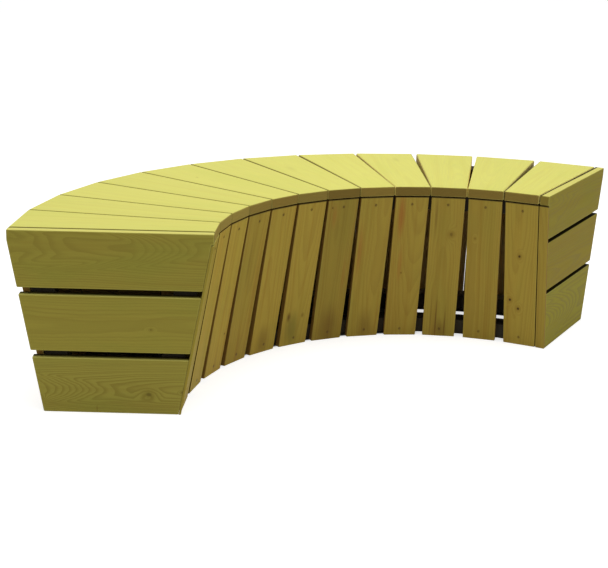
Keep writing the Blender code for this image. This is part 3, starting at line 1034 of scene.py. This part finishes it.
def on_rim(vertex):
    return vertex.co.z > 0 and vertex.co.xy.length > HEAD_RADIUS * 0.99


print("a recess of", HEAD_CORNERS // CORNERS_PER_LOBE, "lobes")

# %% One screw
HEAD_RIM = 0.0004
HEAD_PROUD = 0.0002
RIM_ROUNDING = 0.00012
CONE_DEPTH = 0.0016
SHANK_RADIUS = 0.0014
SHANK_LENGTH = 0.0060
RECESS_DEPTH = 0.0012
RECESS_TAPER = 0.88
LOBE_WAIST, LOBE_TIP = 0.72, 1.06

bpy.ops.object.select_all(action="DESELECT")
bpy.ops.mesh.primitive_cylinder_add(vertices=HEAD_CORNERS, radius=HEAD_RADIUS, depth=HEAD_RIM,
                                    location=(0, 0, HEAD_PROUD - HEAD_RIM / 2))
bpy.ops.object.transform_apply(location=True, rotation=True, scale=True)
screw = bpy.context.object
bpy.ops.object.mode_set(mode="EDIT")
pick("faces", lambda face: face.normal.z < -FACES_UP)
drawn_out(-CONE_DEPTH, SHANK_RADIUS / HEAD_RADIUS)
drawn_out(-SHANK_LENGTH, 1)
pick("faces", lambda face: face.normal.z > FACES_UP)
bpy.ops.mesh.inset(thickness=RECESS_INSET)
pick("verts", lambda vertex: on_recess(vertex, CORNERS_PER_LOBE / 2))
scaled_about_axis(LOBE_WAIST)
pick("verts", lambda vertex: on_recess(vertex, 0))
scaled_about_axis(LOBE_TIP)
pick("faces", lambda face: face.normal.z > FACES_UP and len(face.verts) == HEAD_CORNERS)
drawn_out(-RECESS_DEPTH, RECESS_TAPER)
pick("edges", lambda edge: all(on_rim(vertex) for vertex in edge.verts))
bpy.ops.mesh.bevel(offset=RIM_ROUNDING, segments=2)
bpy.ops.object.mode_set(mode="OBJECT")
bpy.ops.object.shade_smooth_by_angle(angle=radians(35))
print("one screw:", len(screw.data.polygons), "faces")

# %% [markdown]
# ## Screw metal
# The screws were yellow-passivated once. Outdoors the coat has dulled to brown, blotchy from head to head,
# with rust in fine pits. Two noises do that: a coarse one that changes from screw to screw, and a fine one
# that also gives the pits their depth.

# %% Dulled steel
DULLED_METAL = colour(80, 58, 24)
BRIGHTER_METAL = colour(108, 82, 36)
RUST = colour(52, 34, 16)
# Grains per metre each way, seed and detail of the two noises
BLOTCHES, BLOTCH_EDGES = ((260, 260, 260), 4, 2), (0.35, 0.65)
PITS, PIT_EDGES = ((2600, 2600, 2600), 11, 3), (0.55, 0.75)
RUST_DEPTH = 0.7
METALLIC, METAL_ROUGHNESS, PIT_ROUGHNESS = 0.75, 0.35, 0.3
PIT_STRENGTH, PIT_DEPTH = 0.3, 0.0001

steel, tree, shader = new_material("screw_steel")
where = add_node(tree, "ShaderNodeTexCoord").outputs["Object"]
blotches = own_noise(tree, where, *BLOTCHES).outputs["Fac"]
pits = own_noise(tree, where, *PITS).outputs["Fac"]
metal = cover(tree, DULLED_METAL, BRIGHTER_METAL, blotches, BLOTCH_EDGES)
metal = cover(tree, metal, RUST, pits, PIT_EDGES, 0.0, RUST_DEPTH)
tree.links.new(metal, shader.inputs["Base Color"])
tree.links.new(math(tree, "MULTIPLY_ADD", pits, PIT_ROUGHNESS, METAL_ROUGHNESS), shader.inputs["Roughness"])
shader.inputs["Metallic"].default_value = METALLIC
add_relief(tree, shader, pits, PIT_STRENGTH, PIT_DEPTH)
screw.data.materials.append(steel)
print(steel.name, "with", len(tree.nodes), "nodes")

# %% [markdown]
# ## A screw in every place
# Each copy is seated on its slat's face and turned by chance, as a driver leaves it. The screws of one wall
# are joined into one piece.

# %% The screws of both walls
TURN_SEED = 7


def set_screw(name, along, across, turn):
    """A copy of the screw, seated on a slat's outer face."""
    space = timber_matrix(name)
    face = max((space.inverted() @ vertex.co).z for vertex in nodes[name].data.vertices)
    copy = screw.copy()
    copy.data = screw.data.copy()
    bpy.context.collection.objects.link(copy)
    copy.matrix_world = space @ Matrix.Translation((along, across, face)) @ Matrix.Rotation(turn, 4, "Z")
    return copy


turns = Random(TURN_SEED)
for wall in ("inner", "outer"):
    slats = [name for name in sorted(nodes) if name.startswith(wall + "_slat")]
    copies = [set_screw(name, along, across, turns.uniform(0, 2 * pi))
              for name in slats for along, across in screw_places(name)]
    bpy.ops.object.select_all(action="DESELECT")
    for copy in copies:
        copy.select_set(True)
    bpy.context.view_layer.objects.active = copies[0]
    bpy.ops.object.join()
    bpy.ops.object.transform_apply(location=True, rotation=True, scale=True)
    joined = bpy.context.object
    joined.name = wall + "_wall_screws"
    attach(joined, "root")
    print(joined.name, len(copies), "screws")
bpy.data.objects.remove(screw)
